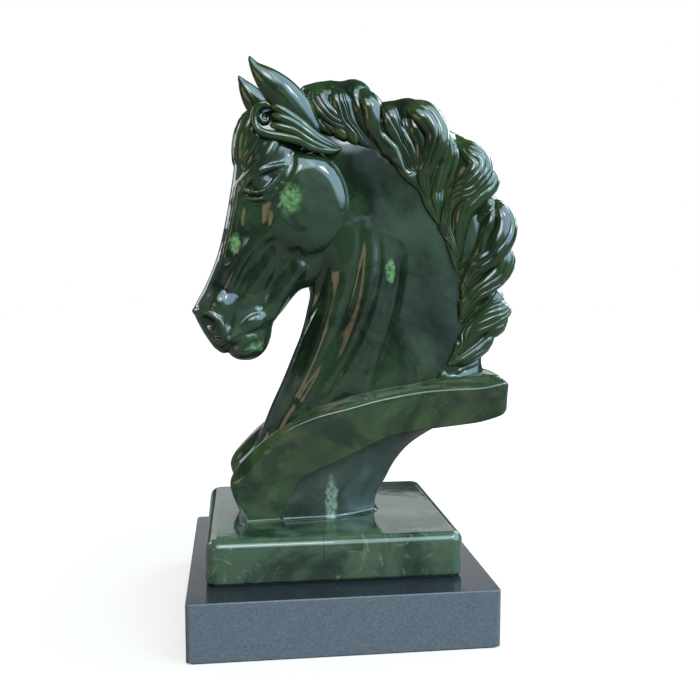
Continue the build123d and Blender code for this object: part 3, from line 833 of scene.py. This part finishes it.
# %% The stem
STEM = [
    (51, -31.5, 28, 26.6), (53.9, -31.5, 27.6, 26.2), (54.7, -30.6, 26.4, 25.2), (56, -30, 25.6, 24.5),
    (60, -30, 25.6, 24.4), (65.6, -29, 27.4, 24.3),
    (72.5, -26, 31.4, 24.2), (82.9, -20, 37.2, 24.0), (92.6, -8, 46, 23.8), (101, 6, 59.4, 23.6),
    (108, 20, 73, 23.4), (113, 30, 84, 23.2),
]


def stem_section(z, left, right, half):
    """A level slice of the stem: flat in front, drawn in to a blunt nose at the right."""
    reach = right - left
    side = [(left, -half), (left + 0.55 * reach, -half + 2.2), (left + 0.8 * reach, -half + 6.5),
            (right - 0.6, -half + 13.5), (right, -half + 16.5)]
    corners = side + [(x, -y) for x, y in reversed(side)]
    radii = [3, 14, 8, 3, 3, 3, 3, 8, 14, 3]
    shape = rounded_polygon(corners, radii, 5)
    return np.column_stack([shape, np.full(len(shape), z)])


levels = smooth_line(STEM, 4)
stem = join_skins("collar_stem", [sweep_faces(np.array([stem_section(*level) for level in levels]))])
print("stem:", len(stem.data.polygons), "faces")

# %% [markdown]
# The slab under the bust is the same stone, sawn square and rounded by hand. A cube is scaled to
# size, then its edges are bevelled in three passes: the uprights most, the top less, and a small
# chamfer at the bottom.

# %% The jade slab
SLAB_SIZE = (136.0, 121.0, 23.1)
SLAB_MIDDLE_X = -2.5


def bevel_edges(thing, pick, width, parts):
    """Rounds the edges that `pick` chooses, in edit mode."""
    bpy.context.view_layer.objects.active = thing
    thing.select_set(True)
    bpy.ops.object.mode_set(mode="EDIT")
    bpy.ops.mesh.select_mode(type="EDGE")
    bpy.ops.mesh.select_all(action="DESELECT")
    shape = bmesh.from_edit_mesh(thing.data)
    shape.edges.ensure_lookup_table()
    for edge in shape.edges:
        edge.select_set(pick(edge))
    bmesh.update_edit_mesh(thing.data)
    bpy.ops.mesh.bevel(offset=width * MM, offset_type="OFFSET", segments=parts, profile=0.5)
    bpy.ops.object.mode_set(mode="OBJECT")
    thing.select_set(False)


def upright(edge):
    """Whether an edge stands up."""
    way = (edge.verts[0].co - edge.verts[1].co).normalized()
    return abs(way.z) > 0.9


def flat_at(z):
    """Edges at height z, other than open ones."""
    return lambda edge: all(abs(v.co.z - z) < 1e-5 for v in edge.verts) and not edge.is_boundary


def rim_at(z):
    """Edges at height z that border a face which isn't level."""
    level = flat_at(z)
    return lambda edge: level(edge) and any(abs(f.normal.z) < 0.9 for f in edge.link_faces)


def block(name, size, centre):
    """A cube brought to size, with its place in its mesh."""
    bpy.ops.mesh.primitive_cube_add(size=1.0)
    thing = bpy.context.object
    thing.name = name
    thing.scale = [v * MM for v in size]
    thing.location = [v * MM for v in centre]
    bpy.ops.object.transform_apply(location=True, rotation=False, scale=True)
    thing.select_set(False)
    return thing


slab = block("jade_slab", SLAB_SIZE, (SLAB_MIDDLE_X, MID_Y, stone_low[2] + SLAB_SIZE[2] / 2))
bevel_edges(slab, upright, 7.0, 8)
bevel_edges(slab, rim_at((stone_low[2] + SLAB_SIZE[2]) * MM), 5.0, 8)
bevel_edges(slab, rim_at(stone_low[2] * MM), 2.0, 4)
slab.data.shade_smooth()
print("slab:", len(slab.data.polygons), "faces")

# %% [markdown]
# Finishes. Shader arithmetic is easier to read as Python than as boxes and wires, so a small
# class wraps a socket: adding or multiplying two of them adds the Math node that does it.

# %% Shader arithmetic
class Wire:
    """An output socket that can be used in arithmetic."""

    def __init__(self, tree, socket):
        self.tree, self.socket = tree, socket

    def _math(self, operation, *values):
        node = self.tree.nodes.new("ShaderNodeMath")
        node.operation = operation
        for slot, value in zip(node.inputs, values):
            plug(self.tree, value, slot)
        return Wire(self.tree, node.outputs[0])

    def __add__(self, other):
        return self._math("ADD", self, other)

    def __radd__(self, other):
        return self._math("ADD", other, self)

    def __sub__(self, other):
        return self._math("SUBTRACT", self, other)

    def __rsub__(self, other):
        return self._math("SUBTRACT", other, self)

    def __mul__(self, other):
        return self._math("MULTIPLY", self, other)

    def __rmul__(self, other):
        return self._math("MULTIPLY", other, self)

    def __pow__(self, other):
        return self._math("POWER", self, other)

    def larger(self, other):
        return self._math("MAXIMUM", self, other)

    def size(self):
        return self._math("ABSOLUTE", self)


def plug(tree, value, slot):
    """Links a wire to a socket, or sets the socket to a number or colour."""
    if isinstance(value, Wire):
        tree.links.new(value.socket, slot)
    else:
        slot.default_value = value


def add_node(tree, kind, settings, sockets, output=0):
    """A node of any kind: its settings first, then its sockets, and one of its outputs."""
    node = tree.nodes.new(kind)
    for setting, value in settings.items():
        setattr(node, setting, value)
    for socket, value in sockets.items():
        plug(tree, value, node.inputs[socket])
    return Wire(tree, node.outputs[output])


class Finish:
    """A material with one Principled shader, and the nodes that feed it."""

    def __init__(self, name, **constants):
        self.material = bpy.data.materials.new(name)
        self.material.use_nodes = True
        self.tree = self.material.node_tree
        self.shader = self.tree.nodes["Principled BSDF"]
        for socket, value in constants.items():
            self.shader.inputs[socket.replace("_", " ")].default_value = value
        self.place = self.node("ShaderNodeTexCoord", {}, {}, "Object")

    def node(self, kind, settings, sockets, output=0):
        return add_node(self.tree, kind, settings, sockets, output)

    def noise(self, scale, detail=4.0, roughness=0.55, warp=0.0, place=None):
        sockets = {"Scale": scale, "Detail": detail, "Roughness": roughness, "Distortion": warp}
        return self.node("ShaderNodeTexNoise", {}, {"Vector": place or self.place, **sockets})

    def vector(self, operation, *values, output=0):
        return self.node("ShaderNodeVectorMath", {"operation": operation}, dict(enumerate(values)), output)

    def step(self, value, low, high, bottom=0.0, top=1.0):
        """A soft step of a value from `low` to `high`."""
        return self.node("ShaderNodeMapRange", {"interpolation_type": "SMOOTHSTEP"}, {
            0: value, 1: low, 2: high, 3: bottom, 4: top,
        })

    def blend(self, share, first, second):
        """A colour between two others."""
        return self.node("ShaderNodeMix", {"data_type": "RGBA"}, {0: share, 6: first, 7: second}, 2)

    def spot(self, centre, reach, stretch, soft=0.35):
        """A soft blot round a place, with an edge that wanders."""
        scaled = self.vector("MULTIPLY", self.vector("SUBTRACT", self.place, centre), stretch)
        gap = self.vector("LENGTH", scaled, output="Value")
        ragged = gap + (self.noise(260.0, 5.0, 0.65) - 0.5) * (1.5 * reach)
        return self.step(ragged, reach * (1.0 - soft), reach * (1.0 + soft), 1.0, 0.0)

    def feed(self, **wires):
        for socket, wire in wires.items():
            plug(self.tree, wire, self.shader.inputs[socket.replace("_", " ")])

    def bump(self, height, distance, strength=1.0, normal=None):
        sockets = {"Height": height, "Distance": distance, "Strength": strength}
        if normal:
            sockets["Normal"] = normal
        return self.node("ShaderNodeBump", {}, sockets)


def colour(red, green, blue):
    return (red, green, blue, 1.0)


# %% [markdown]
# Jade. Nephrite isn't one green: it is near black where it is thick, olive where it is thin, and
# it has clouds, wisps and a few pale patches. Real translucency is slow to render and is lost in
# an export, so the ridges, where light would get in, are made greener by how sharp they are.

# %% Jade
CRACK_X = -0.0095


def jade(name, deep, body, glow, glow_from, cloud_share, rust=0.0, wisp=0.5, hand_bump=0.0009,
         crack=False, marks=(), mark_tone=(0.14, 0.27, 0.1)):
    """Polished nephrite. Sharp ridges go from `body` to `glow`, a painted glow in place of light through the
    stone, and hollows get painted shade; clouds of `deep` run through it.
    """
    stone = Finish(name, IOR=1.61)
    clouds = stone.step(stone.noise(26.0, 6.0, 0.6, 0.8), 0.5 - cloud_share, 0.5 + cloud_share)
    base = stone.blend(clouds, deep, body)
    wisps = stone.step(stone.noise(70.0, 8.0, 0.62, 2.2), 0.55, 0.72)
    wisps = wisps * stone.step(stone.noise(19.0, 2.0), 0.45, 0.6)
    base = stone.blend(wisps * wisp, base, glow)
    grains = stone.step(stone.noise(900.0, 3.0, 0.7), 0.66, 0.74)
    base = stone.blend(grains * 0.16, base, colour(0.16, 0.22, 0.13))
    sharp = stone.node("ShaderNodeNewGeometry", {}, {}, "Pointiness")
    # Painted light: sharp ridges are lightened towards `glow`, in place of light shining through thin stone.
    base = stone.blend(stone.step(sharp, glow_from, glow_from + 0.09) * 0.85, base, glow)
    # Painted shade: hollows and creases, where the surface curves in, are darkened to near black.
    base = stone.blend(stone.step(sharp, 0.38, 0.497, 1.0, 0.0) * 0.9, base, colour(0.002, 0.004, 0.003))
    warm = stone.step(stone.noise(17.0, 4.0, 0.6, 1.2), 0.5, 0.68) * rust
    base = stone.blend(warm, base, colour(0.085, 0.06, 0.028))
    if crack:
        across = stone.node("ShaderNodeSeparateXYZ", {}, {0: stone.place})
        off = (across - CRACK_X + 0.006 * (stone.noise(60.0, 3.0) - 0.5)).size()
        base = stone.blend(stone.step(off, 0.00008, 0.0003, 0.8, 0.0), base, colour(0.006, 0.01, 0.007))
    if marks:
        pale = stone.spot(*marks[0])
        for mark in marks[1:]:
            pale = pale.larger(stone.spot(*mark))
        mottled = pale * stone.step(stone.noise(420.0, 6.0, 0.7), 0.3, 0.62)
        base = stone.blend(mottled, base, colour(*mark_tone))
    smears = stone.noise(48.0, 5.0, 0.6, 0.5)
    hand = stone.noise(55.0, 2.0)
    pits = stone.step(stone.noise(1500.0, 2.0, 0.6), 0.7, 0.78)
    stone.feed(
        Base_Color=base,
        Roughness=0.05 + 0.07 * smears + 0.25 * pits,
        Normal=stone.bump(pits, -0.00006, 0.6, stone.bump(hand, hand_bump, 0.5)),
    )
    return stone.material


# the pale marks: middle in metres, reach, and how each direction is squeezed
MARKS = [
    ((-0.0233, -0.0165, 0.2319), 0.0058, (1.15, 0.4, 0.8)),
    ((-0.0534, -0.009, 0.2081), 0.0044, (1.3, 0.4, 0.7)),
    ((0.0324, -0.0165, 0.1933), 0.0038, (1.5, 0.4, 0.62)),
    ((-0.0429, -0.008, 0.152), 0.0036, (0.8, 0.4, 1.2)),
    ((-0.0015, -0.0215, 0.064), 0.005, (1.5, 0.4, 0.42)),
]
jade_dark = jade("jade_deep_polish", colour(0.006, 0.011, 0.006), colour(0.021, 0.039, 0.017),
                 colour(0.042, 0.07, 0.018), 0.53, 0.13, marks=MARKS[:4])
jade_green = jade("jade_green_polish", colour(0.006, 0.014, 0.006), colour(0.022, 0.044, 0.012),
                  colour(0.07, 0.095, 0.02), 0.51, 0.16)
jade_band = jade("jade_band_polish", colour(0.01, 0.021, 0.009), colour(0.036, 0.06, 0.02),
                 colour(0.1, 0.14, 0.05), 0.53, 0.12, rust=0.5)
jade_stem = jade("jade_stem_polish", colour(0.012, 0.019, 0.014), colour(0.038, 0.054, 0.038),
                 colour(0.1, 0.13, 0.08), 0.53, 0.12, marks=MARKS[4:], mark_tone=(0.2, 0.25, 0.17))
jade_foot = jade("jade_foot_polish", colour(0.01, 0.022, 0.01), colour(0.05, 0.078, 0.042),
                 colour(0.15, 0.2, 0.12), 0.53, 0.1, rust=0.12, wisp=0.8, hand_bump=0.0003, crack=True)
print("jade finishes:", jade_dark.name, jade_green.name, jade_band.name, jade_stem.name, jade_foot.name)

# %% [markdown]
# Granite. The plinth is fine-grained grey stone: its sides are honed matt and its top is
# polished, which a look at which way a face points can tell apart.

# %% Granite
granite = Finish("granite_honed_and_polished", IOR=1.5)
normal = granite.node("ShaderNodeNewGeometry", {}, {}, "True Normal")
facing = granite.node("ShaderNodeSeparateXYZ", {}, {0: normal}, 2)
level = granite.step(facing, 0.9, 0.97)
crystals = granite.node("ShaderNodeTexVoronoi", {}, {"Vector": granite.place, "Scale": 1500.0}, "Color")
crystal_tone = granite.node("ShaderNodeSeparateColor", {}, {0: crystals}, 0)
mottle = granite.noise(60.0, 6.0, 0.6)
tone = granite.blend(crystal_tone ** 1.6, colour(0.072, 0.082, 0.092), colour(0.118, 0.13, 0.143))
quartz = granite.step(granite.noise(1900.0, 3.0, 0.7), 0.64, 0.74)
tone = granite.blend(quartz * 0.35, tone, colour(0.2, 0.22, 0.24))
mica = granite.step(granite.noise(1400.0, 3.0, 0.7), 0.62, 0.7)
tone = granite.blend(mica * 0.7, tone, colour(0.012, 0.014, 0.018))
tone = granite.blend(granite.step(mottle, 0.3, 0.7) * 0.25, tone, colour(0.095, 0.106, 0.118))
grain_height = granite.noise(1700.0, 4.0, 0.7)
tone = granite.blend(level * 0.9, tone, colour(0.01, 0.012, 0.014))
granite.feed(
    Base_Color=tone,
    Roughness=(1.0 - level) * 0.56 + level * (0.13 + 0.1 * mottle),
    Normal=granite.bump(grain_height * (1.0 - level), 0.00012, 0.7),
)

# %% Bedding, steel, resin and felt
bedding = Finish("bedding_sheet_finish", Roughness=0.75)
sheet = bedding.blend(bedding.noise(700.0), colour(0.03, 0.032, 0.034), colour(0.07, 0.073, 0.075))
bedding.feed(Base_Color=sheet)
steel = Finish("stainless_steel_finish", Metallic=1.0)
brushed = steel.node("ShaderNodeMapping", {}, {"Vector": steel.place, "Scale": (60.0, 60.0, 1.0)})
steel_tone = steel.noise(40.0, 5.0, place=brushed)
steel.feed(Base_Color=steel.blend(steel_tone, colour(0.42, 0.43, 0.44), colour(0.68, 0.69, 0.7)),
           Roughness=0.2 + 0.2 * steel_tone)
resin = Finish("epoxy_finish", IOR=1.55)
resin.feed(Base_Color=resin.blend(resin.noise(200.0), colour(0.3, 0.24, 0.12), colour(0.42, 0.36, 0.22)),
           Roughness=0.25 + 0.15 * resin.noise(500.0))
felt = Finish("felt_finish", Sheen_Weight=0.4, Sheen_Roughness=0.6)
fibres = felt.noise(2600.0, 6.0, 0.75, 1.5)
felt.feed(Base_Color=felt.blend(fibres, colour(0.004, 0.012, 0.007), colour(0.02, 0.045, 0.028)),
          Roughness=0.85 + 0.1 * fibres, Normal=felt.bump(fibres, 0.0004))

# %% Finishes on their pieces
node_finish = {
    "granite_plinth": granite, "bedding_pad": bedding, "threaded_stud": steel, "fixing_washer": steel,
    "fixing_nut": steel, "locating_dowels": steel, "stud_epoxy": resin, "felt_base": felt,
}
for node, finish in node_finish.items():
    slots = frame["nodes"][node].data.materials
    slots.clear()
    slots.append(finish.material)

stone_pieces = {
    head: jade_dark, neck: jade_dark, ears: jade_green, mane_body: jade_green, mane_near: jade_green,
    mane_far: jade_green, forelock_near: jade_green, forelock_far: jade_green, collar: jade_band,
    stem: jade_stem, slab: jade_foot,
}
for piece, material in stone_pieces.items():
    piece.data.materials.append(material)
    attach(piece, "root")
    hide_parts("jade_carving")
print("pieces of stone:", len(stone_pieces))

# %% [markdown]
# The studio. A dark polished stone shows its surroundings more than its own colour. So the room
# is dim, and soft-edged glows are painted on its walls: sky overhead, a window on the right, a
# faint one in front, and a little warm light low on the left. Small area lights add the glints,
# and the room is white only where it is seen directly.

# %% Floor, room and lights
bpy.ops.mesh.primitive_plane_add(size=6.0)
floor = bpy.context.object
floor.name = "studio_floor"
floor.select_set(False)
paper = Finish("white_paper", Roughness=0.95)
paper.feed(Base_Color=paper.blend(paper.noise(900.0), colour(0.2, 0.175, 0.145), colour(0.22, 0.195, 0.16)))
reach = paper.vector("LENGTH", paper.place, output="Value")
brightness = paper.step(reach, 0.16, 0.6, 0.72, 1.0)
lit = paper.node("ShaderNodeEmission", {}, {"Color": colour(1.0, 1.0, 1.0), "Strength": brightness})
plain = Wire(paper.tree, paper.shader.outputs[0])
paper_seen = paper.node("ShaderNodeAddShader", {}, {0: lit, 1: plain})
camera_ray = paper.node("ShaderNodeLightPath", {}, {}, "Is Camera Ray")
paper_mix = paper.node("ShaderNodeMixShader", {}, {0: camera_ray, 1: plain, 2: paper_seen})
plug(paper.tree, paper_mix, paper.tree.nodes["Material Output"].inputs["Surface"])
floor.data.materials.append(paper.material)

world = bpy.data.worlds.new("studio_room")
bpy.context.scene.world = world
world.use_nodes = True
room = world.node_tree
way = add_node(room, "ShaderNodeTexCoord", {}, {}, "Generated")
light = (0.05, 0.055, 0.06)
# each glow: its direction, the cosines where it starts and where it is full, and its colour
for direction, outer, inner, tint in (
    ((0.0, -0.68, 0.73), 0.87, 0.955, (3.4, 4.3, 4.9)),
    ((0.75, -0.3, 0.58), 0.76, 0.9, (2.7, 4.1, 5.3)),
    ((0.5, -0.78, 0.3), 0.86, 0.98, (0.45, 0.62, 0.66)),
    ((-0.75, -0.62, -0.02), 0.93, 0.985, (2.1, 1.45, 0.9)),
    ((-0.9, 0.3, 0.3), 0.8, 0.97, (0.3, 0.35, 0.4)),
):
    aim = list(Vector(direction).normalized())
    along = add_node(room, "ShaderNodeVectorMath", {"operation": "DOT_PRODUCT"}, {0: way, 1: aim}, "Value")
    share = add_node(
        room, "ShaderNodeMapRange", {"interpolation_type": "SMOOTHSTEP"}, {0: along, 1: outer, 2: inner})
    glow = add_node(room, "ShaderNodeVectorMath", {"operation": "SCALE"}, {0: tint, "Scale": share})
    light = add_node(room, "ShaderNodeVectorMath", {"operation": "ADD"}, {0: light, 1: glow})
dim = add_node(room, "ShaderNodeBackground", {}, {"Color": light})
white = add_node(room, "ShaderNodeBackground", {}, {"Color": colour(1.0, 1.0, 1.0)})
seen = add_node(room, "ShaderNodeLightPath", {}, {}, "Is Camera Ray")
choose = add_node(room, "ShaderNodeMixShader", {}, {0: seen, 1: dim, 2: white})
plug(room, choose, room.nodes["World Output"].inputs["Surface"])


def soft_light(name, place, size, power, tint, aim=(0.0, 0.0, 0.17)):
    """A rectangular light that faces the bust."""
    lamp = bpy.data.lights.new(name, "AREA")
    lamp.shape = "RECTANGLE"
    lamp.size, lamp.size_y = size
    lamp.energy, lamp.color = power, tint
    thing = bpy.data.objects.new(name, lamp)
    bpy.context.collection.objects.link(thing)
    thing.location = place
    thing.rotation_euler = (Vector(aim) - Vector(place)).to_track_quat("-Z", "Y").to_euler()
    thing.visible_camera = False


for name, place, size, radiance, tint in (
    ("window_core", (0.42, -0.4, 0.66), (0.12, 0.16), 14.0, (0.9, 0.96, 1.0)),
    ("overhead", (-0.05, -0.8, 0.85), (0.3, 0.25), 8.0, (0.85, 0.95, 1.0)),
    ("behind_right", (0.6, 0.5, 0.55), (0.45, 0.45), 4.5, (0.85, 0.95, 1.0)),
    ("behind_left", (-0.65, 0.5, 0.55), (0.35, 0.35), 3.5, (0.95, 0.98, 1.0)),
    ("back_wall", (0.35, 1.3, 0.47), (2.2, 0.3), 0.92, (0.92, 0.97, 1.0)),
):
    soft_light(name, place, size, radiance * math.pi * size[0] * size[1], tint)

# %% The camera
lens = bpy.data.cameras.new("camera")
lens.lens = 45.96
lens.sensor_width = 36.0
lens.clip_start = 0.01
camera = bpy.data.objects.new("camera", lens)
bpy.context.collection.objects.link(camera)
camera.location = (-0.0537, -0.5076, 0.1969)
camera.rotation_euler = (math.radians(90.0 - 5.48), 0.0, math.radians(-7.32))
bpy.context.scene.camera = camera
bpy.context.scene.view_settings.view_transform = "Standard"
